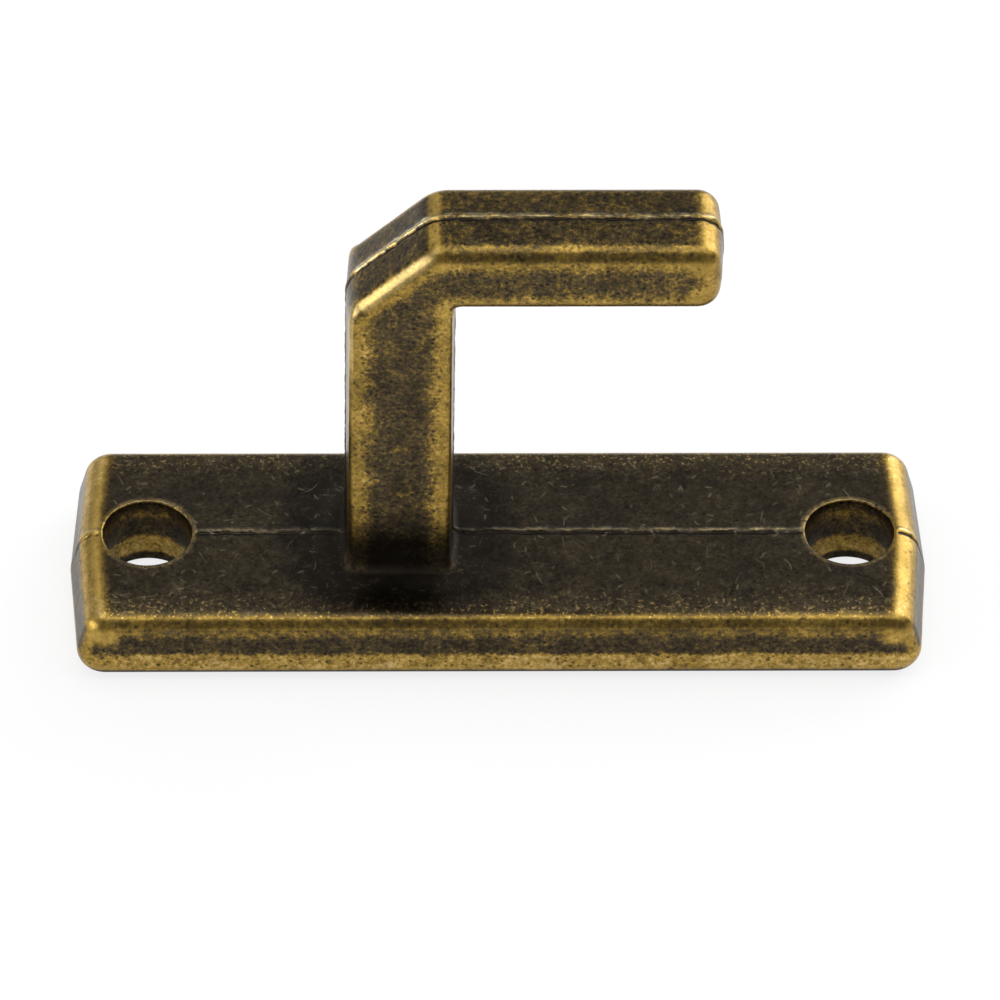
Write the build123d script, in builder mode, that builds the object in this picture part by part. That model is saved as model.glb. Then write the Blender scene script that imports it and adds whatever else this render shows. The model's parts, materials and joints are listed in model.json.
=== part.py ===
# Fixed hook of a box hasp: one small zinc casting with a bar base, a post and an overhanging arm.
# Millimetres. X runs along the base, Y across it and Z up from the surface it is screwed to.
# The casting parts on the plane Y = 0, so its outlines are largest there and draft away to both faces.
import os
from math import cos, radians, tan

from build123d import *

# Base bar: its length is the longest, at the parting plane, and its height is up to the crest of the top
base_length = 34.2
base_depth = 9.92
base_height = 3.33
end_lean = 14.5
end_draft = 4.0
top_draft = 1.6
end_foot_radius = 1.15
end_top_radius = 1.1
base_edge_radius = 0.7

# Screw holes, each set in from its end of the base
hole_diameter = 3.5
hole_inset = 3.1

# Post and arm: heights are above the underside, and the reach is from the post's outer side to the tip
hook_height = 20.7
hook_depth = 4.1
hook_draft = 3.6
post_width = 4.3
post_offset = -3.98
arm_height = 3.41
arm_reach = 14.73
corner_chamfer = 3.35
corner_blend = 1.6
tip_crown = 0.24
tip_radius = 1.0
inner_radius = 0.25
hook_edge_radius = 0.68
foot_radius = 0.3

# Places worked out from the sizes above
hole_spacing = base_length - 2 * hole_inset
post_left = post_offset - post_width / 2
post_right = post_offset + post_width / 2
arm_tip = post_left + arm_reach
arm_under = hook_height - arm_height
end_run = tan(radians(end_lean))
foot_overhang = end_foot_radius * (end_run + 1 / cos(radians(end_lean)) - 1)

os.makedirs("parts", exist_ok=True)

# Post and arm: one bent outline, drafted both ways from the parting plane and rooted inside the base
with BuildPart() as post_and_arm:
    with BuildSketch(Plane.XZ) as hook_outline:
        with BuildLine():
            Polyline(
                (arm_tip - tip_crown, arm_under),
                (post_right, arm_under),
                (post_right, base_height / 2),
                (post_left, base_height / 2),
                (post_left, hook_height - corner_chamfer),
                (post_left + corner_chamfer, hook_height),
                (arm_tip - tip_crown, hook_height),
            )
            ThreePointArc(
                (arm_tip - tip_crown, hook_height),
                (arm_tip, hook_height - arm_height / 2),
                (arm_tip - tip_crown, arm_under),
            )
        make_face()
        fillet(hook_outline.vertices().group_by(Axis.X)[-1], tip_radius)
        fillet(hook_outline.vertices().sort_by_distance((post_left, hook_height))[:2], corner_blend)
        fillet(hook_outline.vertices().sort_by_distance((post_right, arm_under))[0], inner_radius)
    extrude(amount=hook_depth / 2, both=True, taper=hook_draft)
    hook_rims = post_and_arm.edges().group_by(Axis.Y)
    fillet(hook_rims[0] + hook_rims[-1], hook_edge_radius)

with BuildPart() as hasp_hook:
    # Front half of the base, lofted from its outline on the parting plane to its outline on the face
    for reach in (0, base_depth / 2):
        height = base_height - reach * tan(radians(top_draft))
        half_foot = base_length / 2 + foot_overhang - reach * tan(radians(end_draft))
        half_top = half_foot - height * end_run
        with BuildSketch(Plane.XZ.offset(reach)) as base_outline:
            with BuildLine():
                Polyline(
                    (-half_foot, 0),
                    (half_foot, 0),
                    (half_top, height),
                    (-half_top, height),
                    close=True,
                )
            make_face()
            fillet(base_outline.vertices().group_by(Axis.Y)[0], end_foot_radius)
            fillet(base_outline.vertices().group_by(Axis.Y)[-1], end_top_radius)
    loft(ruled=True)
    mirror(about=Plane.XZ)
    base_rims = hasp_hook.edges().group_by(Axis.Y)
    fillet(base_rims[0] + base_rims[-1], base_edge_radius)

    # Screw holes through the base, one near each end
    with GridLocations(hole_spacing, 0, 2, 1):
        Hole(hole_diameter / 2)

    # Post and arm stand on the base, blended round the foot
    add(post_and_arm.part)
    fillet(hasp_hook.edges(Select.NEW), foot_radius)

hasp_hook.part.label = "hasp_hook"
export_step(hasp_hook.part, "parts/hasp_hook.step")
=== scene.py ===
# %% [markdown]
# # The fixed hook of a box hasp
#
# The object is one small zinc casting, about as long as two fingertips: a bar base with two screw
# holes, a post, and an arm that overhangs to one side. It is plated with brass, blackened, and
# then rubbed, so that gold shows along every edge and the flats stay nearly black. This lesson
# builds the casting's surface closely enough to carry that finish, and photographs it on white.

# %% Load the frame
import json
import math

import bmesh
import bpy
import numpy as np
from mathutils import Matrix, Vector, geometry, kdtree


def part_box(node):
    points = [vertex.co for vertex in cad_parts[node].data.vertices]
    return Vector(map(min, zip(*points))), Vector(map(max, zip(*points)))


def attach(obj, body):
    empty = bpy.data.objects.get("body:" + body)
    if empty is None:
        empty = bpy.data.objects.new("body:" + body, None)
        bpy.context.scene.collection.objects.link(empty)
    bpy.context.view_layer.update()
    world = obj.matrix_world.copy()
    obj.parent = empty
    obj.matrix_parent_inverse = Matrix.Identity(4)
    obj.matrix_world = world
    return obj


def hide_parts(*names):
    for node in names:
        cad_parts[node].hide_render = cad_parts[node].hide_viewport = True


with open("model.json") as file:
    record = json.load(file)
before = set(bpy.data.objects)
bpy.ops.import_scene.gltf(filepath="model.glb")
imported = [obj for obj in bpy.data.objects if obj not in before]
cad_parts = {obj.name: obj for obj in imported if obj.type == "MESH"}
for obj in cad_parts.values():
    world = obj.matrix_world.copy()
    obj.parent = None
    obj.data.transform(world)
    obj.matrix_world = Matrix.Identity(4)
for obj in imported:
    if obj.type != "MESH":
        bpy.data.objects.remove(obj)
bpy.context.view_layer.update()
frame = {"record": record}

# %% [markdown]
# ## The casting's sizes
#
# The frame gives the outer box and the screw holes. The rest are the casting's own sizes, in
# millimetres like a drawing: drafts and blends, and the thin flash that the die leaves where its
# two halves meet. The flash stands proud, so the top of the arm is made lower by its height.

# %% Sizes
MM = 0.001
low, high = (np.array(corner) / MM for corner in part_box("hasp_hook"))
base_length, base_depth, full_height = (float(v) for v in high - low)
screws = next(m for m in frame["record"]["mounts"] if m["name"] == "screw_holes")
print("mount:", screws)

flash_height = 0.05
base_height = 3.33
end_lean = math.radians(14.5)
end_draft = math.tan(math.radians(4.0))
top_draft = math.tan(math.radians(1.6))
end_foot_radius = 1.15
end_top_radius = 1.1
base_rim = 0.7
hole_radius = screws["dims"]["hole_r_mm"]
hole_place = screws["dims"]["spacing_x_mm"] / 2
hole_rim = 0.12

hook_height = full_height - flash_height
hook_depth = 4.1
hook_draft = math.tan(math.radians(3.6))
hook_rim = 0.68
side_rim = 0.25
post_left = -6.13
post_right = -1.83
arm_tip = 8.6
arm_under = 17.29
corner_chamfer = 3.35
corner_blend = 1.6
tip_crown = 0.24
tip_radius = 1.0
inner_radius = 0.25
foot_radius = 0.3

# Lanes across the parting plane are close together, so that the flash has a shape of its own
parting_lanes = [-0.48, -0.34, -0.26, -0.2, -0.15, -0.1, -0.05, 0.0, 0.05, 0.1, 0.15, 0.2, 0.26, 0.34, 0.48]
rim_steps = 9
# Twice the area of a triangle that is too thin to keep, and the distance at which points are one
sliver = 4e-5
same_point = 0.003
print("base", round(base_length, 2), round(base_depth, 2), "hook", round(hook_height, 2))

# %% [markdown]
# ## Outlines and drafted rings
#
# A die casting is an outline at the parting plane that shrinks towards each face by the draft,
# and turns over the rim into the face. So each outline is first walked as points with outward
# normals, and every point is then carried across the casting from rim to rim.

# %% Outline and ring helpers
def unit(v):
    return v / np.linalg.norm(v)


def rounded_path(corners, radii, runs, closed=False, turn=math.radians(8)):
    """Points, outward normals and the span of each straight run, walked counter-clockwise from the front."""
    corners = [np.array(c, float) for c in corners]
    count = len(corners)
    bends = []
    for k, corner in enumerate(corners):
        into = unit(corner - corners[k - 1]) if closed or k > 0 else None
        out = unit(corners[(k + 1) % count] - corner) if closed or k < count - 1 else None
        if into is None or out is None:
            way = out if into is None else into
            bends.append([(corner, np.array([way[1], -way[0]]))])
            continue
        angle = math.atan2(into[0] * out[1] - into[1] * out[0], into @ out)
        start = corner - into * radii[k] * math.tan(abs(angle) / 2)
        normal = np.array([into[1], -into[0]])
        centre = start - math.copysign(radii[k], angle) * normal
        steps = max(2, math.ceil(abs(angle) / turn))
        bend = []
        for a in np.linspace(0, angle, steps + 1):
            n = np.array([normal[0] * math.cos(a) - normal[1] * math.sin(a),
                          normal[0] * math.sin(a) + normal[1] * math.cos(a)])
            bend.append((centre + math.copysign(radii[k], angle) * n, n))
        bends.append(bend)
    points, normals, spans = [], [], []
    for k, bend in enumerate(bends):
        points += [p for p, n in bend]
        normals += [n for p, n in bend]
        if k == count - 1 and not closed:
            break
        end, normal = bend[-1]
        after = bends[(k + 1) % count][0][0]
        first = len(points) - 1
        for t in np.linspace(0, 1, runs[k] + 1)[1:-1]:
            points.append(end + (after - end) * t)
            normals.append(normal)
        spans.append((first, len(points)))
    return np.array(points), np.array(normals), spans


def drafted_ring(points, normals, slope, slide, half_depth, rim, lanes):
    """Rows of points from the front rim to the back rim: each lane is the outline drawn in by the draft."""
    lean = np.arctan(slope)
    rows = []

    def row(side, y, inset):
        flat = points + slide * y[:, None] - normals * inset[:, None]
        rows.append(np.column_stack([flat[:, 0], side * y, flat[:, 1]]))

    def rim_row(side, share):
        phi = lean + (math.pi / 2 - lean) * share
        straight = (half_depth - rim) * slope + rim / np.cos(lean)
        row(side, half_depth - rim + rim * np.sin(phi), straight - rim * np.cos(phi))

    for share in np.linspace(1, 0, rim_steps + 1):
        rim_row(-1, share)
    for y in lanes:
        row(math.copysign(1, y), np.full(len(points), abs(y)), abs(y) * slope)
    for share in np.linspace(0, 1, rim_steps + 1):
        rim_row(1, share)
    return np.array(rows)


def ease(value, low, high):
    t = np.clip((value - low) / (high - low), 0, 1)
    return t * t * (3 - 2 * t)


def spread(edge, step):
    """Lanes from the front to the back, close together at the parting plane."""
    near = parting_lanes[-1]
    count = max(2, round((edge - near) / step))
    outer = np.linspace(edge, near, count + 1)[1:-1]
    return [-y for y in outer] + parting_lanes + list(outer[::-1])


vertices, faces = [], []


def add_grid(grid, keep=None, closed=False):
    """Four-sided faces between neighbouring rows and neighbouring points of a grid."""
    rows, columns = grid.shape[:2]
    first = len(vertices)
    vertices.extend(grid.reshape(-1, 3))
    for j in range(rows - 1):
        for i in range(columns if closed else columns - 1):
            if keep is None or keep(j, i):
                after = (i + 1) % columns
                faces.append([first + j * columns + i, first + j * columns + after,
                              first + (j + 1) * columns + after, first + (j + 1) * columns + i])


def hex_points(low, high, step):
    """Points of an even triangular spread over a rectangle."""
    points = []
    for j, v in enumerate(np.arange(low[1], high[1], step * math.sqrt(3) / 2)):
        for u in np.arange(low[0] + (j % 2) * step / 2, high[0], step):
            points.append((u, v))
    return np.array(points)


def inside(loop, points):
    """Which points are inside a closed loop."""
    hit = np.zeros(len(points), bool)
    x, y = points[:, 0], points[:, 1]
    for (x0, y0), (x1, y1) in zip(loop, np.roll(loop, -1, axis=0)):
        if y0 != y1:
            crossing = (y0 > y) != (y1 > y)
            hit ^= crossing & (x < (x1 - x0) * (y - y0) / (y1 - y0) + x0)
    return hit


def fill(loops, extra, lift, axes, clear):
    """Triangles inside the first loop and outside the others, through extra points that are lifted
    on to the surface and keep clear of the loops."""
    flat = [np.array(loop)[:, axes] for loop in loops]
    near = kdtree.KDTree(sum(len(loop) for loop in flat))
    for n, (u, v) in enumerate(np.concatenate(flat)):
        near.insert((u, v, 0), n)
    near.balance()
    good = inside(flat[0], extra)
    for loop in flat[1:]:
        good &= ~inside(loop, extra)
    extra = np.array([p for p, g in zip(extra, good) if g and near.find((p[0], p[1], 0))[2] > clear])
    flat_points = [Vector(p) for loop in flat for p in loop] + [Vector(p) for p in extra]
    edges, first = [], 0
    for loop in flat:
        edges += [(first + i, first + (i + 1) % len(loop)) for i in range(len(loop))]
        first += len(loop)
    found = geometry.delaunay_2d_cdt(flat_points, edges, [], 1, 1e-7, True)
    solid = [p for loop in loops for p in loop] + [lift(u, v) for u, v in extra]
    base = len(vertices)
    vertices.extend(np.array(solid[origin[0]]) for origin in found[3])
    corners = np.array([[found[0][i] for i in f] for f in found[2]])
    centres, one, two = corners.mean(axis=1), corners[:, 1] - corners[:, 0], corners[:, 2] - corners[:, 0]
    drop = ~inside(flat[0], centres) | (abs(one[:, 0] * two[:, 1] - one[:, 1] * two[:, 0]) < sliver)
    for loop in flat[1:]:
        drop |= inside(loop, centres)
    faces.extend([base + i for i in f] for f, d in zip(found[2], drop) if not d)
    return len(found[2])


# %% [markdown]
# ## The post and the arm
#
# They are one bent bar, cast in one with the base. Its outer corner is cut off at 45 degrees and
# softened, and the tip is slightly crowned. The outline is walked from the post's foot, up the
# inner side, round the arm and down the outer side, and then carried across with its draft.
#
# The rims where it turns into the flat faces are round along the arm, and tight along the upright
# sides of the post, as the photograph's sharp line of gold there shows. So each point of the outline
# has its own rim radius, which changes smoothly where the bar bends.

# %% Post and arm
foot_line = base_height + foot_radius
half_arm = (hook_height - arm_under) / 2
flank = math.atan(tip_crown / half_arm)
crown_radius = 5.0
crown_point = arm_tip + crown_radius * (1 / math.cos(flank) - 1)
tip_back = crown_point - half_arm * math.tan(flank)
hook_points, hook_normals, hook_spans = rounded_path(
    [(post_right, foot_line), (post_right, arm_under), (tip_back, arm_under),
     (crown_point, arm_under + half_arm), (tip_back, hook_height),
     (post_left + corner_chamfer, hook_height), (post_left, hook_height - corner_chamfer),
     (post_left, foot_line)],
    radii=[0, inner_radius, tip_radius, crown_radius, tip_radius, corner_blend, corner_blend, 0],
    runs=[90, 62, 5, 5, 84, 30, 66])
half_hook = hook_depth / 2
upright = ease(abs(hook_normals[:, 0]), 0.75, 0.98) * (hook_points[:, 0] < post_right + inner_radius)
hook_rims = hook_rim + (side_rim - hook_rim) * upright
hook_ring = drafted_ring(hook_points, hook_normals, np.full(len(hook_points), hook_draft),
                         np.zeros_like(hook_points), half_hook, hook_rims,
                         spread(half_hook - hook_rim, step=0.2))
add_grid(hook_ring)
print("hook ring:", hook_ring.shape)

# %% [markdown]
# The two flat faces of the bent bar close the ring. Each is filled with small even triangles, so
# that the slight unevenness of a casting has something to move.

# %% Faces of the post and arm
foot_edges = []
for side, row in ((-1, hook_ring[0]), (1, hook_ring[-1])):
    between = np.linspace(row[-1], row[0], 30)[1:-1]
    foot_edges.append(between)
    loop = np.concatenate([row, between])
    count = fill([loop], hex_points((post_left, foot_line), (arm_tip, hook_height), step=0.22),
                 lambda u, v: (u, side * half_hook, v), axes=[0, 2], clear=0.12)
    print("face", side, count)

# %% [markdown]
# ## The base
#
# The base is a bar whose ends lean in by about 15 degrees and are rounded at the foot and the
# top. Its top falls away from the parting plane to both faces, like a very flat roof.

# %% Base ring
def base_outline(reach):
    height = base_height - reach * top_draft
    overhang = end_foot_radius * (math.tan(end_lean) + 1 / math.cos(end_lean) - 1)
    half_foot = base_length / 2 + overhang - reach * end_draft
    half_top = half_foot - height * math.tan(end_lean)
    return rounded_path(
        [(-half_foot, 0), (half_foot, 0), (half_top, height), (-half_top, height)],
        radii=[end_foot_radius, end_foot_radius, end_top_radius, end_top_radius],
        runs=[80, 6, 150, 6], closed=True)


half_base = base_depth / 2
base_points, base_normals, base_spans = base_outline(0)
shift = (base_outline(half_base)[0] - base_points) / half_base
base_slope = -(shift * base_normals).sum(axis=1)
base_rims = np.full(len(base_points), base_rim)
base_ring = drafted_ring(base_points, base_normals, base_slope, shift + base_slope[:, None] * base_normals,
                         half_base, base_rims, spread(half_base - base_rim, step=0.22))
front_lane, back_lane = rim_steps, len(base_ring) - 1 - rim_steps
bottom_run, top_span = base_spans[0], base_spans[2]
# The fill of the top takes in the first few points of the bend at each end
bend_points = 3
top_run = (top_span[0] - bend_points, top_span[1] + bend_points)


def off_flats(lane, column):
    on_flat = any(run[0] <= column < run[1] for run in (bottom_run, top_run))
    return not (on_flat and front_lane <= lane < back_lane)


add_grid(base_ring, off_flats, closed=True)
for side, row in ((-1, base_ring[0]), (1, base_ring[-1])):
    fill([row], hex_points((-base_length / 2, 0), (base_length / 2, base_height), step=0.24),
         lambda u, v: (u, side * half_base, v), axes=[0, 2], clear=0.12)
print("base ring:", base_ring.shape)

# %% [markdown]
# ## Screw holes and the foot of the post
#
# The holes are plain drillings with a slightly broken edge. The post's foot runs into the base
# with a small hollow blend, which here is a skirt of rows bending from upright to flat.

# %% Holes and foot
bend_place, bend_draft = base_points[top_span[0]][0], -shift[top_span[0]][0]


def roof(x, y):
    """Height of the base's top, which falls to both faces and bends down at the ends."""
    reach = np.abs(y)
    past = np.clip(np.abs(x) - bend_place + reach * bend_draft, 0, 0.9 * end_top_radius)
    return base_height - reach * top_draft - end_top_radius + np.sqrt(end_top_radius ** 2 - past ** 2)


turns = np.linspace(0, 2 * math.pi, 72, endpoint=False)
edge_rows, wall_rows = 5, 12
hole_tops, hole_feet = [], []
for hole_x in (-hole_place, hole_place):
    rows = []
    for a in np.linspace(0, math.pi / 2, edge_rows):
        radius = hole_radius + hole_rim * (1 - math.sin(a))
        x, y = hole_x + radius * np.cos(turns), radius * np.sin(turns)
        rows.append(np.column_stack([x, y, roof(x, y) - hole_rim * (1 - math.cos(a))]))
    wall = rows[-1]
    for share in np.linspace(1, 0, wall_rows)[1:]:
        z = hole_rim + share * (wall[:, 2] - hole_rim)
        rows.append(np.column_stack([wall[:, 0], wall[:, 1], z]))
    for a in np.linspace(math.pi / 2, 0, edge_rows)[1:]:
        radius = hole_radius + hole_rim * (1 - math.sin(a))
        x, y = hole_x + radius * np.cos(turns), radius * np.sin(turns)
        rows.append(np.column_stack([x, y, np.full(len(x), hole_rim * (1 - math.cos(a)))]))
    add_grid(np.array(rows), closed=True)
    hole_tops.append(rows[0])
    hole_feet.append(rows[-1])

rises = np.full(len(hook_ring), math.atan(hook_draft))
rises[:rim_steps + 1] = np.linspace(math.pi / 2, rises[0], rim_steps + 1)
rises[-rim_steps - 1:] = np.linspace(rises[rim_steps + 1], math.pi / 2, rim_steps + 1)
ways = np.sign(hook_ring[:, 0, 1])
right_out = np.column_stack([np.cos(rises), ways * np.sin(rises)])
left_out = right_out * [-1, 1]
front, back = foot_edges
foot_loop = np.concatenate([front, hook_ring[:, 0], back[::-1], hook_ring[::-1, -1]])
foot_out = np.concatenate([np.tile([0, -1], (len(front), 1)), right_out,
                           np.tile([0, 1], (len(back), 1)), left_out[::-1]])
skirt = []
for a in np.linspace(0, math.pi / 2, 6):
    xy = foot_loop[:, :2] + foot_out * foot_radius * (1 - math.cos(a))
    ground = roof(xy[:, 0], xy[:, 1])
    lift = foot_line - roof(foot_loop[:, 0], foot_loop[:, 1])
    skirt.append(np.column_stack([xy, ground + lift * (1 - math.sin(a))]))
add_grid(np.array(skirt), closed=True)
print("foot loop:", len(foot_loop))

# %% [markdown]
# The top and the underside of the base are filled last, round the holes and the foot. Rows of
# close points along the parting plane carry the flash between the holes and the post.

# %% Top and underside
def flat_loop(run):
    first, last = run
    across = range(front_lane + 1, back_lane)
    columns = [c % base_ring.shape[1] for c in range(first, last + 1)]
    return np.concatenate([base_ring[front_lane, columns], base_ring[across, columns[-1]],
                           base_ring[back_lane, columns[::-1]], base_ring[across, columns[0]][::-1]])


corners = (-base_length / 2, -half_base), (base_length / 2, half_base)
spots = hex_points(*corners, step=0.21)
spots = spots[abs(spots[:, 1]) > parting_lanes[-1] + 0.08]
flash_step = 0.11
strip = np.array([(x, y) for y in parting_lanes
                  for x in np.arange(-base_length / 2, base_length / 2, flash_step)])
top_count = fill([flat_loop(top_run), *hole_tops, skirt[-1]], np.concatenate([spots, strip]),
                 lambda u, v: (u, v, roof(u, v)), axes=[0, 1], clear=0.05)
under_count = fill([flat_loop(bottom_run), *hole_feet], hex_points(*corners, step=0.5),
                   lambda u, v: (u, v, 0), axes=[0, 1], clear=0.2)
print("top:", top_count, "underside:", under_count)

# %% [markdown]
# ## One closed surface
#
# The patches share their border points exactly, so they are sewn by merging those points. A modifier
# such as Bevel or Remesh could round a rough block instead, but it would blur the small bends that
# the finish follows. No open edge may be left, because a casting is solid.

# %% Sew the patches
mesh = bpy.data.meshes.new("casting_blank")
mesh.from_pydata([tuple(np.array(v) * MM) for v in vertices], [], faces)
sewn = bmesh.new()
sewn.from_mesh(mesh)
bmesh.ops.remove_doubles(sewn, verts=sewn.verts, dist=same_point * MM)
bmesh.ops.recalc_face_normals(sewn, faces=sewn.faces)
open_edges = sum(not e.is_manifold for e in sewn.edges)
volume = sewn.calc_volume() / MM ** 3
print("faces", len(sewn.faces), "open edges", open_edges, "volume mm3", round(volume, 1))
sewn.to_mesh(mesh)
sewn.free()
mesh.shade_smooth()
blank = bpy.data.objects.new("casting_blank", mesh)
bpy.context.collection.objects.link(blank)

# %% [markdown]
# ## Flash and unevenness
#
# Where the two die halves met, a thin ragged ridge follows the parting plane over the base, the
# post and the arm, with a fine crevice on its near side. It could be a curve laid on the casting,
# but then it would have to be cut into the surface. It follows the surface, so Geometry Nodes
# raise it along the surface normal, as wide and as high as the tree's inputs say.
#
# The same tree notes how far each point is from the rims, the foot and the holes. Those distances
# decide later where the gold is rubbed bare, so the lines they are measured to are made first.

# %% Lines that the rubbing follows
def line_object(name, lines):
    points, edges = [], []
    for line in lines:
        edges += [(len(points) + i, len(points) + i + 1) for i in range(len(line) - 1)]
        points += [tuple(np.array(p) * MM) for p in line]
    lines_mesh = bpy.data.meshes.new(name)
    lines_mesh.from_pydata(points, edges, [])
    made = bpy.data.objects.new(name, lines_mesh)
    bpy.context.collection.objects.link(made)
    return made


def loop_of(row):
    return np.concatenate([row, row[:1]])


middle = rim_steps // 2
rim_lines = line_object("rim_lines", [hook_ring[middle], hook_ring[-1 - middle],
                                      loop_of(base_ring[middle]), loop_of(base_ring[-1 - middle])])
foot_lines = line_object("foot_lines", [loop_of(skirt[3])])
hole_lines = line_object("hole_lines", [loop_of(rows) for rows in hole_tops])
# Columns of points near the middle of the bends at the base's ends, the tip and the upper corner
end_columns = [top_span[0] - 5, top_span[1] + 5]
tip_columns = [hook_spans[2][0] - 5, hook_spans[4][0] - 5, hook_spans[5][0] - 3]
end_lines = line_object("end_lines", [base_ring[:, c] for c in end_columns]
                        + [hook_ring[:, c] for c in tip_columns])
for lines in (rim_lines, foot_lines, hole_lines, end_lines):
    print(lines.name, len(lines.data.edges))

# %% [markdown]
# Both this tree and the finish are sums of numbers that change from point to point. Written node
# by node such sums are hard to read, so a small class stands for one number of a tree, and turns
# plus, minus and times into Math nodes.

# %% Node helpers
def wire(tree, kind, *values, out=0, **options):
    """A node with its inputs set or linked in order; gives back one output."""
    node = tree.nodes.new(kind)
    for key, value in options.items():
        setattr(node, key, value)
    for socket, value in zip(node.inputs, values):
        value = value.socket if isinstance(value, Field) else value
        if isinstance(value, bpy.types.NodeSocket):
            tree.links.new(value, socket)
        elif value is not None:
            socket.default_value = value
    return node.outputs[out]


class Field:
    """One number at each point of a surface."""

    def __init__(self, tree, socket):
        self.tree, self.socket = tree, socket

    def math(self, operation, *values):
        return Field(self.tree, wire(self.tree, "ShaderNodeMath", self, *values, operation=operation))

    def __add__(self, other):
        return self.math("ADD", other)

    def __sub__(self, other):
        return self.math("SUBTRACT", other)

    def __mul__(self, other):
        return self.math("MULTIPLY", other)

    def __truediv__(self, other):
        return self.math("DIVIDE", other)

    def __abs__(self):
        return self.math("ABSOLUTE")

    def least(self, other):
        return self.math("MINIMUM", other)

    def most(self, other):
        return self.math("MAXIMUM", other)

    def below(self, limit):
        return self.math("LESS_THAN", limit)

    def centred(self, strength):
        """A noise moved to either side of zero."""
        return (self - 0.5) * strength

    def between(self, low, high, first=0.0, last=1.0, curve="SMOOTHSTEP"):
        """The first value up to low, the last from high on, and a curve from one to the other."""
        return Field(self.tree, wire(self.tree, "ShaderNodeMapRange", self, low, high, first, last,
                                     interpolation_type=curve))


def split(tree, vector):
    """The three numbers of a vector."""
    return [Field(tree, part) for part in wire(tree, "ShaderNodeSeparateXYZ", vector).node.outputs]


# %% [markdown]
# The tree's inputs are the lines to measure to, the sizes of the flash and a seed, so that every
# run gives the same ragged ridge.

# %% Surface tree
to_mm = (1 / MM, 1 / MM, 1 / MM)
tree = bpy.data.node_groups.new("cast_surface", "GeometryNodeTree")
settings = {}
for way in ("INPUT", "OUTPUT"):
    tree.interface.new_socket("Geometry", in_out=way, socket_type="NodeSocketGeometry")
for name, kind in (("Rims", "Object"), ("Ends", "Object"), ("Foot", "Object"), ("Holes", "Object"),
                   ("Flash height", "Float"), ("Flash width", "Float"), ("Crevice depth", "Float"),
                   ("Unevenness", "Float"), ("Seed", "Float")):
    socket = tree.interface.new_socket(name, in_out="INPUT", socket_type="NodeSocket" + kind)
    settings[name] = socket.identifier
print("tree:", tree.name, "inputs:", list(settings))
entry = tree.nodes.new("NodeGroupInput").outputs
position = wire(tree, "GeometryNodeInputPosition")
normal = wire(tree, "GeometryNodeInputNormal")
in_mm = wire(tree, "ShaderNodeVectorMath", position, to_mm, operation="MULTIPLY")
x, y, z = split(tree, in_mm)
tilt = split(tree, normal)[2]


def ragged(scale, detail, shift):
    """A seeded noise; the shift along X gives each use a pattern of its own."""
    moved = wire(tree, "ShaderNodeVectorMath", in_mm, (shift, 0, 0), operation="ADD")
    return Field(tree, wire(tree, "ShaderNodeTexNoise", moved, entry["Seed"], scale, detail, 0.6,
                            noise_dimensions="4D"))


def hump(centre, width):
    """One along a line that runs over the casting, falling off to both sides of it."""
    away = (y - centre) / width
    return (away * away * -1.0).math("EXPONENT")


# %% [markdown]
# The ridge lies just behind the parting plane and the crevice just in front of it, and both wander
# together. They leave out the underside and the holes. On the arm the ridge is wider, and on its
# slope it stands higher, where nothing has rubbed it down.

# %% Ridge and crevice
ridge_place, crevice_place, crevice_width = 0.12, -0.07, 0.085
hole_edge = hole_radius + hole_rim
wander = ragged(2.2, 5, 40.0).centred(0.34) + ragged(6.0, 2, 70.0).centred(0.2)
from_hole_x = abs(x) - hole_place
from_hole = (from_hole_x * from_hole_x + y * y).math("SQRT")
shown = z.between(1.2, 3.0, curve="LINEAR")
shown = shown * from_hole.between(hole_edge - 0.02, hole_edge + 0.12, curve="LINEAR")
on_arm = z.between(12.0, 14.0, curve="LINEAR")
on_slope = tilt.between(0.4, 0.6, curve="LINEAR") * tilt.between(0.85, 0.97, 1.0, 0.0, "LINEAR") * on_arm
ridge_width = (on_arm * 0.4 + 1.0) * entry["Flash width"]
ridge = hump(wander + ridge_place, ridge_width) * shown * (on_slope * 0.7 + 1.0)
ridge = ridge * ragged(2.6, 5, 0.0).between(0.35, 0.6, 0.35, 1.0, "LINEAR")
crevice = hump(wander + crevice_place, crevice_width) * shown
crevice = crevice * ragged(1.1, 3, 90.0).between(0.35, 0.6, 0.2, 1.0, "LINEAR")
uneven = ragged(0.7, 3, 10.0) * entry["Unevenness"] * z.between(0.2, 1.0, curve="LINEAR")
rise = (ridge * entry["Flash height"] - crevice * entry["Crevice depth"] - uneven) * MM
offset = wire(tree, "ShaderNodeVectorMath", normal, operation="SCALE")
tree.links.new(rise.socket, offset.node.inputs["Scale"])
print("nodes up to the rise:", len(tree.nodes))

# %% [markdown]
# Each point keeps its distances and the flash's height as attributes, which the finish reads. Then
# the points are moved and the material is set.

# %% Distances kept on the surface
def store(shape, name, value):
    """The shape with a number kept at each point under a name."""
    kept = tree.nodes.new("GeometryNodeStoreNamedAttribute")
    kept.inputs["Name"].default_value = name
    tree.links.new(shape, kept.inputs["Geometry"])
    tree.links.new(value.socket, kept.inputs["Value"])
    return kept.outputs[0]


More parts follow.
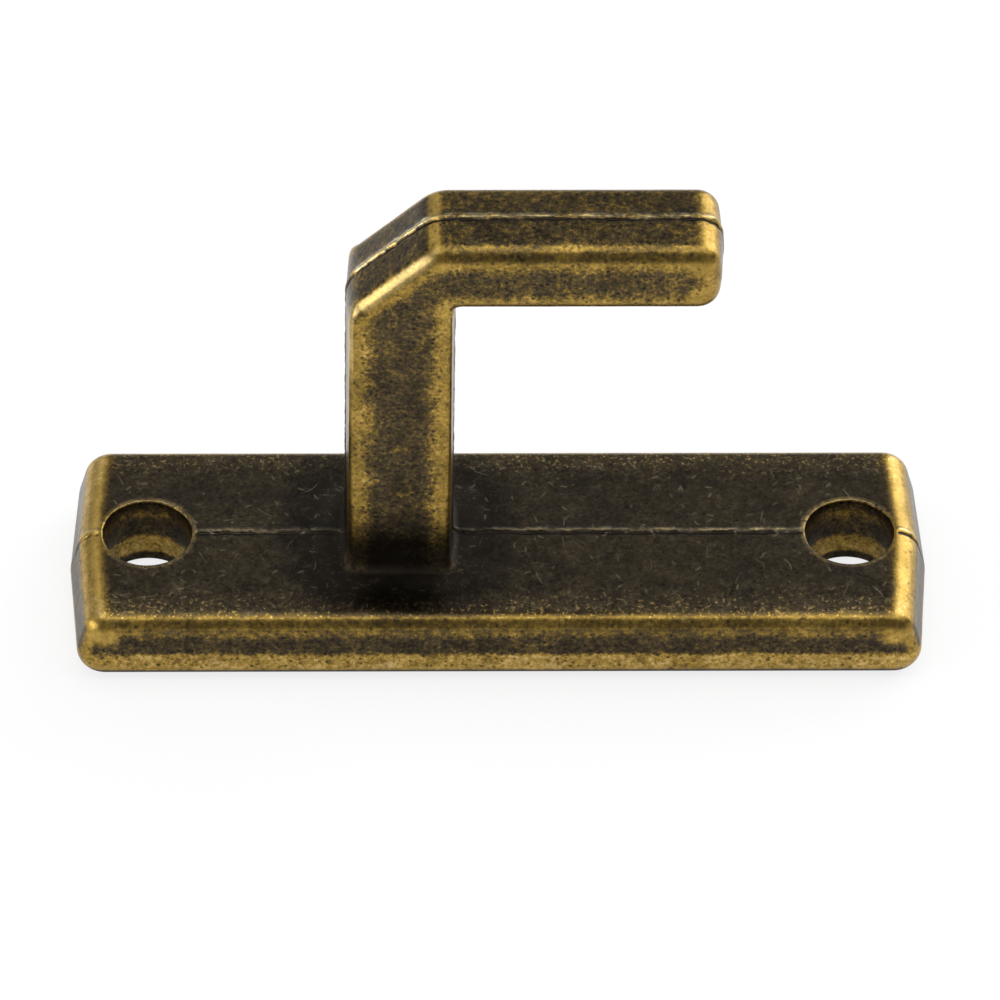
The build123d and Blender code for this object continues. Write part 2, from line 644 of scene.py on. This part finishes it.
shape = entry["Geometry"]
for name, source in (("rim", "Rims"), ("end", "Ends"), ("foot", "Foot"), ("hole", "Holes")):
    info = tree.nodes.new("GeometryNodeObjectInfo")
    tree.links.new(entry[source], info.inputs["Object"])
    near = tree.nodes.new("GeometryNodeProximity")
    near.target_element = "EDGES"
    tree.links.new(info.outputs["Geometry"], near.inputs[0])
    shape = store(shape, name, Field(tree, near.outputs["Distance"]) * (1 / MM))
shape = store(shape, "flash", ridge - crevice)
moved = wire(tree, "GeometryNodeSetPosition", shape, None, None, offset)
material = bpy.data.materials.new("antique_bronze")
dressed = tree.nodes.new("GeometryNodeSetMaterial")
tree.links.new(wire(tree, "GeometryNodeRealizeInstances", moved), dressed.inputs["Geometry"])
dressed.inputs["Material"].default_value = material
tree.links.new(dressed.outputs[0], tree.nodes.new("NodeGroupOutput").inputs[0])
print("whole tree:", len(tree.nodes), "nodes")

# %% [markdown]
# The tree is run once and its result is kept as a plain mesh. The blank and the lines have then
# done their work, and only the finished casting stays.

# %% Bake the surface
nodes_on = blank.modifiers.new("cast_surface", "NODES")
nodes_on.node_group = tree
for name, value in (("Rims", rim_lines), ("Ends", end_lines), ("Foot", foot_lines), ("Holes", hole_lines),
                    ("Flash height", flash_height), ("Flash width", 0.095), ("Crevice depth", 0.07),
                    ("Unevenness", 0.02), ("Seed", 3.0)):
    nodes_on[settings[name]] = value
bpy.context.view_layer.update()
ready = blank.evaluated_get(bpy.context.evaluated_depsgraph_get())
casting = bpy.data.objects.new("hook_casting", bpy.data.meshes.new_from_object(ready))
bpy.context.collection.objects.link(casting)
for spare in (blank, rim_lines, end_lines, foot_lines, hole_lines):
    bpy.data.objects.remove(spare)
print("attributes:", [a.name for a in casting.data.attributes], "faces", len(casting.data.polygons))

# %% [markdown]
# ## Antique bronze
#
# On the real hook the brass plating is blackened in a bath and then tumbled or brushed. The dark
# skin stays on the flats and in the corners, and is rubbed off along the rims, bends and hole
# edges, where the brass shows gold. A painted picture could hold this, but it would have to be
# fitted to the shape by hand. Here one number at each point says how far the rubbing went, from
# black at 0 to polished brass at 1, and a row of tones turns it into colour. It is metal all over,
# so what looks black is only metal that reflects little.

# %% Finish helpers
material.use_nodes = True
paint = material.node_tree
paint.nodes.clear()
shader = paint.nodes.new("ShaderNodeBsdfPrincipled")
surface_out = paint.nodes.new("ShaderNodeOutputMaterial")
paint.links.new(shader.outputs[0], surface_out.inputs[0])
spot = paint.nodes.new("ShaderNodeTexCoord").outputs
place = wire(paint, "ShaderNodeVectorMath", spot["Object"], to_mm, operation="MULTIPLY")
px, py, pz = split(paint, place)
sideways, _, up = split(paint, spot["Normal"])


def noted(name):
    """A number that the surface tree kept on the mesh."""
    return Field(paint, wire(paint, "ShaderNodeAttribute", out=2, attribute_name=name))


def cloud(scale, detail, rough=0.6):
    """An even noise with this many features to the millimetre."""
    return Field(paint, wire(paint, "ShaderNodeTexNoise", place, None, scale, detail, rough))


def dots(scale, outer, inner, share, channel):
    """Round dots in a share of the cells of an uneven spread."""
    cell = wire(paint, "ShaderNodeTexVoronoi", place, None, scale, 0.0).node.outputs
    chance = split(paint, cell["Color"])[channel]
    return Field(paint, cell["Distance"]).between(outer, inner) * chance.below(share)


def mixed(factor, first, second, blend="MIX"):
    """Two colours, mixed by a factor."""
    return wire(paint, "ShaderNodeMix", factor, *[None] * 5, first, second, out=2,
                data_type="RGBA", blend_type=blend)


# %% [markdown]
# Some marks are fine scratches that lie in every direction. Each one sits in a cell of an uneven
# spread, turned by that cell's own random number. The surface is unfolded for them, so that they
# stretch neither on the tops nor on the sides.

# %% Scratches
unfolded = wire(paint, "ShaderNodeCombineXYZ", py * abs(sideways) + px, py + pz, 0.0)


def hairs(density, length, width, share, shift):
    """Short fine scratches, one in a share of the cells, each with its own direction and bend."""
    moved = wire(paint, "ShaderNodeVectorMath", unfolded, (density, density, 0), (shift, shift, 0),
                 operation="MULTIPLY_ADD")
    cell = wire(paint, "ShaderNodeTexVoronoi", moved, None, 1.0, 0.0, voronoi_dimensions="2D").node.outputs
    offset = wire(paint, "ShaderNodeVectorMath", moved, cell["Position"], operation="SUBTRACT")
    dx, dy, _ = split(paint, offset)
    chance, bend, turn = split(paint, cell["Color"])
    angle = turn * math.tau
    cosine, sine = angle.math("COSINE"), angle.math("SINE")
    along = dx * cosine + dy * sine
    across = dy * cosine - dx * sine + along * along * bend.centred(1.6)
    mark = abs(across).between(width, width * 0.3) * abs(along).between(length, length * 0.5)
    return mark * chance.below(share)


scratches = hairs(1.9, 0.34, 0.12, 0.3, 3.1).most(hairs(0.9, 0.4, 0.035, 0.3, 17.7))
print("nodes up to the scratches:", len(paint.nodes))

# %% [markdown]
# The rubbing reaches about a millimetre in from each rim on the post and the arm, and less on the
# base's wide top. All distances here are in millimetres. A squeeze makes the distance from a rim
# count for more, so that the gold stops sooner.

# %% Where the rubbing reaches
rim, end, foot, hole, flash = (noted(n) for n in ("rim", "end", "foot", "hole", "flash"))
upper_bend = px.between(-1.0, -2.0) * pz.between(14.0, 17.0)
end = end * (upper_bend + 1.0)
base_top = up.between(0.7, 0.95) * pz.between(4.4, 3.7)
arm_top = up.between(0.5, 0.8) * pz.between(8.0, 11.0)
base_front = up.between(0.6, 0.3) * pz.between(3.5, 3.1)
squeeze = base_top * 1.3 + arm_top * 0.4 + base_front * 1.4 + pz.between(15.0, 17.0) * 0.2 + 1.0
way = (rim * squeeze).least(end * 1.3)
rubbed = way.between(1.15, 0.4).most(hole.between(0.18, 0.06, 0.0, 0.6))
print("nodes up to the rubbing:", len(paint.nodes))

# %% [markdown]
# The level of rubbing starts from the dark skin and rises to the gold. The base's long faces wear
# in two bands, a broad one low down and a faint one above it. The slope's rim is the most handled
# and is polished, and its paler tint is partly a painted highlight. Round the foot of the post nothing
# reaches, so a dark stain stays there. The lowest edge of the base is darker, partly unrubbed skin and
# partly a painted contact shadow, and the upper part of each rim is darkened as painted shade that
# dims its highlight. The flash shines on the slope, is duller on the arm's flat and on the base, and
# dullest left of the post, and the crevice in front of it is darkened as painted shade.

# %% Level of rubbing
post_skin, arm_skin, base_gold, hook_gold = 0.325, 0.385, 0.7, 0.67
skin = pz.between(13.0, 16.5, post_skin, arm_skin) - base_top * 0.06 - base_front * 0.03
level = skin + rubbed * (pz.between(3.0, 5.0, base_gold, hook_gold) - skin)

height = pz + cloud(1.5, 4).centred(0.3)
low_band, faint_band = height.between(1.56, 1.24), abs(height - 2.58).between(0.5, 0.0)
level = level.most(skin + base_front * (low_band * 0.46 + faint_band * 0.24))

bends = end.between(1.0, 0.3) * 0.07
# Painted shade: the upper part of each rim is darkened, which dims its highlight.
rim_tops_painted_shade = rim.between(0.5, 0.25, 0.0, 0.12) * up.between(0.1, 0.4)
# Painted contact shadow, together with unrubbed skin, along the base's lowest edge.
unrubbed_edge_and_contact_shadow = pz.between(0.56, 0.34, 0.0, 0.6) - pz.between(1.0, 0.6) * 0.06
level = level + bends - rim_tops_painted_shade - unrubbed_edge_and_contact_shadow

beside_rims = base_top * rim.between(1.8, 0.5, 0.0, 0.1)
flecks = base_top * rim.between(2.6, 0.6) * cloud(7.0, 3).between(0.54, 0.68, 0.0, 0.35)
# The slope's rim is polished, and its extra brightness and pale tint are partly a painted highlight.
polish_and_painted_highlight = rim.between(0.5, 0.2) * pz.between(13.0, 15.0) * sideways.between(-0.2, -0.4)
level = level + beside_rims + flecks + polish_and_painted_highlight * 0.15 + cloud(0.55, 3).centred(0.34)

stain = (foot + cloud(1.4, 4).centred(0.9)).between(0.2, 3.2, 0.42, 0.0)
on_flat = px.between(-3.2, -2.4) * pz.between(14.0, 17.0)
on_base = pz.between(6.0, 5.0) * (px.between(-5.0, -6.5) * 0.4 + 0.3)
shine = on_flat * -0.55 + 1.0 - on_base
ridge_gold = flash.between(0.15, 0.8) * cloud(2.6, 4).between(0.35, 0.65, 0.2, 0.5) * shine
# Painted shade in the crevice in front of the flash.
crevice_painted_shade = flash.between(-0.1, -0.55, 0.0, 0.8)
level = level - stain + ridge_gold - crevice_painted_shade
print("nodes up to the level:", len(paint.nodes))

# %% [markdown]
# The skin wears off in grains and leaves small dark pits in the gold. Both are noise, coarse and
# fine, and both are calmer on the rims and on the base's top, as they are on the real hook.

# %% Grain, pits and tones
calm = rim.between(0.6, 0.3, 1.0, 0.6) * end.between(0.8, 0.4, 1.0, 0.5) * (base_top * -0.42 + 1.0)
grain = cloud(6.0, 3).centred(0.95) + cloud(16.0, 2).centred(0.55) + cloud(2.2, 4).centred(0.8)
pits = dots(3.6, 0.36, 0.16, share=0.6, channel=0)
value = level - grain * calm - pits * calm * 0.26
ramp = paint.nodes.new("ShaderNodeValToRGB")
paint.links.new(value.socket, ramp.inputs[0])
tones = ((0.0, (0.02, 0.016, 0.011)), (0.2, (0.036, 0.027, 0.016)), (0.35, (0.062, 0.046, 0.023)),
         (0.45, (0.095, 0.066, 0.026)), (0.56, (0.165, 0.107, 0.028)), (0.68, (0.285, 0.184, 0.039)),
         (0.82, (0.43, 0.28, 0.068)), (1.0, (0.6, 0.43, 0.18)))
while len(ramp.color_ramp.elements) < len(tones):
    ramp.color_ramp.elements.new(0.5)
for stop, (at, colour) in zip(ramp.color_ramp.elements, tones):
    stop.position, stop.color = at, (*colour, 1)
print("tones:", len(ramp.color_ramp.elements))

# %% [markdown]
# Over the tones come pale specks, smears and scratches, most of them on the base's top, a slow
# change of tint, and the bare metal on the flash, which is paler than the plating. The base's flat
# top is a little greyer than the rest.

# %% Pale marks and colour
mark_colour, bare_metal = (0.21, 0.165, 0.09, 1), (0.62, 0.54, 0.33, 1)
specks = dots(2.3, 0.16, 0.06, share=0.3, channel=1)
smears = cloud(2.4, 5, 0.75).between(0.55, 0.7) * 0.45
strength = cloud(0.8, 3).between(0.35, 0.65) * (base_top * 0.4 + 0.3) * foot.between(0.3, 3.0, 0.45, 1.0)
marked = mixed(scratches.most(specks).most(smears) * strength, ramp.outputs[0], mark_colour)
tinted = mixed(1.0, marked, cloud(1.2, 4).between(0.3, 0.7, 0.85, 1.2), "MULTIPLY")
paler_on_arm = arm_top * up.between(0.97, 0.85, 0.9, 2.4) + 0.4
bare = flash.between(0.2, 0.6) * cloud(1.7, 5).between(0.4, 0.6, 0.15, 0.5) * paler_on_arm
# The polished rim's share of pale metal is partly a painted highlight.
pale = mixed((bare * shine).most(polish_and_painted_highlight * 0.17), tinted, bare_metal)
flat_top = base_top * way.between(0.9, 1.5)
muted = wire(paint, "ShaderNodeHueSaturation", 0.5, flat_top * -0.16 + 1.0, 1.0, 1.0, pale)
print("nodes up to the colour:", len(paint.nodes))

# %% [markdown]
# The dirt at the foot is duller than the rest. The grains that are worn away lie a little below
# the skin, far less than a mesh could show, so a bump is enough for them.

# %% Shader
paint.links.new(muted, shader.inputs["Base Color"])
shader.inputs["Metallic"].default_value = 1.0
roughness = foot.between(1.6, 0.2) * 0.3 + value.between(0.3, 0.8, 0.3, 0.32)
paint.links.new(roughness.socket, shader.inputs["Roughness"])
bump = paint.nodes.new("ShaderNodeBump")
bump.inputs["Strength"].default_value = 0.3
bump.inputs["Distance"].default_value = 0.04 * MM
paint.links.new(value.socket, bump.inputs["Height"])
paint.links.new(bump.outputs[0], shader.inputs["Normal"])
print("finish nodes:", len(paint.nodes))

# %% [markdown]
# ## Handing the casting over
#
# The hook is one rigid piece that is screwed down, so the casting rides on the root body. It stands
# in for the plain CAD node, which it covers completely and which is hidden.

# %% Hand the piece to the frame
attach(casting, "root")
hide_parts("hasp_hook")
print("casting:", len(casting.data.polygons), "faces")

# %% [markdown]
# ## White table
#
# The hook lies on a white table, so the floor is a plain matt sheet just under it. More light would
# bleach the hook together with the table, so the table instead glows a little where the camera sees
# it, and keeps a share of its own shading for the shadow. Mirrored in the metal it glows much less,
# because the sides that mirror the table are only mid grey in the photograph.

# %% Floor
floor_half, floor_drop = 1.5, 0.03 * MM
white_seen, white_mirrored = 0.8, 0.1
floor_mesh = bpy.data.meshes.new("floor")
corners = ((-1, -1), (1, -1), (1, 1), (-1, 1))
floor_mesh.from_pydata([(floor_half * x, floor_half * y, -floor_drop) for x, y in corners],
                       [], [(0, 1, 2, 3)])
floor = bpy.data.objects.new("floor", floor_mesh)
bpy.context.collection.objects.link(floor)
white = bpy.data.materials.new("white_table")
white.use_nodes = True
table = white.node_tree
matt = table.nodes["Principled BSDF"]
matt.inputs["Base Color"].default_value = (0.86, 0.86, 0.86, 1)
matt.inputs["Roughness"].default_value = 0.9
ray = table.nodes.new("ShaderNodeLightPath").outputs
seen = Field(table, ray["Is Camera Ray"]).most(ray["Is Transmission Ray"])
mirrored = Field(table, ray["Is Glossy Ray"])
bright = table.nodes.new("ShaderNodeEmission")
both = table.nodes.new("ShaderNodeMixShader")
table.links.new((seen * white_seen + mirrored * white_mirrored).socket, both.inputs[0])
table.links.new(matt.outputs[0], both.inputs[1])
table.links.new(bright.outputs[0], both.inputs[2])
table.links.new(both.outputs[0], table.nodes["Material Output"].inputs[0])
floor_mesh.materials.append(white)
print("floor at", round(floor_mesh.vertices[0].co.z / MM, 3), "mm")

# %% [markdown]
# ## Soft boxes
#
# Metal shows what stands round it, so the lights are placed by what each bend mirrors. A long box
# overhead draws the gold line along the front rims, one behind on the right fills the right end,
# and a low one on the left draws the bright line on the slope. The room is dimmer in front, which
# makes the dark line under each rim.

# %% Light
world = bpy.data.worlds.new("studio")
world.use_nodes = True
room = world.node_tree
front_light, back_light = 0.36, 0.5
facing = split(room, room.nodes.new("ShaderNodeTexCoord").outputs["Generated"])[1]
room.links.new(facing.between(-0.2, 0.6, front_light, back_light, "LINEAR").socket,
               room.nodes["Background"].inputs["Strength"])
room.nodes["Background"].inputs["Color"].default_value = (0.97, 0.98, 1.0, 1)
bpy.context.scene.world = world


def soft_box(name, place, aim, size, power):
    """An area lamp at a place in metres, turned to what it lights; the power is in watts."""
    lamp = bpy.data.lights.new(name, "AREA")
    lamp.shape = "RECTANGLE"
    lamp.size, lamp.size_y = size
    lamp.energy = power
    box = bpy.data.objects.new(name, lamp)
    box.location = place
    box.rotation_euler = (Vector(aim) - Vector(place)).to_track_quat("-Z", "Y").to_euler()
    bpy.context.collection.objects.link(box)


soft_box("overhead", (0.3, 0.02, 0.7), (0.3, 0.02, 0), (1.8, 0.6), 5.8)
soft_box("right_behind", (0.5, 0.45, 0.3), (0, 0, 0.01), (0.62, 0.62), 3.1)
soft_box("left", (-0.6, -0.16, 0.15), (0, 0, 0.01), (0.58, 0.2), 2.0)
soft_box("left_behind", (-0.4, 0.6, 0.5), (0, 0, 0.01), (0.4, 0.4), 0.25)
bpy.context.scene.view_settings.view_transform = "Standard"

# %% [markdown]
# ## Camera
#
# The photograph was taken from 45 degrees above, nearly straight on, with a long lens. The angles,
# the distance and the lens come from fitting a camera to the outline of the hook. The lens is given
# in pixels of a picture 1,000 wide, and is turned into millimetres for the sensor.

# %% Camera
azimuth, elevation, roll = (math.radians(v) for v in (-1.4495, 45.0651, 0.9252))
look = Vector((-math.sin(azimuth) * math.cos(elevation), math.cos(azimuth) * math.cos(elevation),
               -math.sin(elevation)))
right = Vector((math.cos(azimuth), math.sin(azimuth), 0))
above = right.cross(look)
aim, distance = Vector((0.038, 0, 5.087)) * MM, 472.03 * MM
lens_pixels, picture_width = 11871.8, 1000
lens = bpy.data.cameras.new("camera")
lens.sensor_width = 36
lens.lens = lens_pixels * lens.sensor_width / picture_width
lens.clip_start = 0.01
camera = bpy.data.objects.new("camera", lens)
camera_right = right * math.cos(roll) + above * math.sin(roll)
camera_up = above * math.cos(roll) - right * math.sin(roll)
camera.matrix_world = Matrix.Translation(aim - look * distance) @ Matrix(
    (camera_right, camera_up, -look)).transposed().to_4x4()
bpy.context.collection.objects.link(camera)
bpy.context.scene.camera = camera
print("camera at", [round(v, 4) for v in camera.matrix_world.translation])
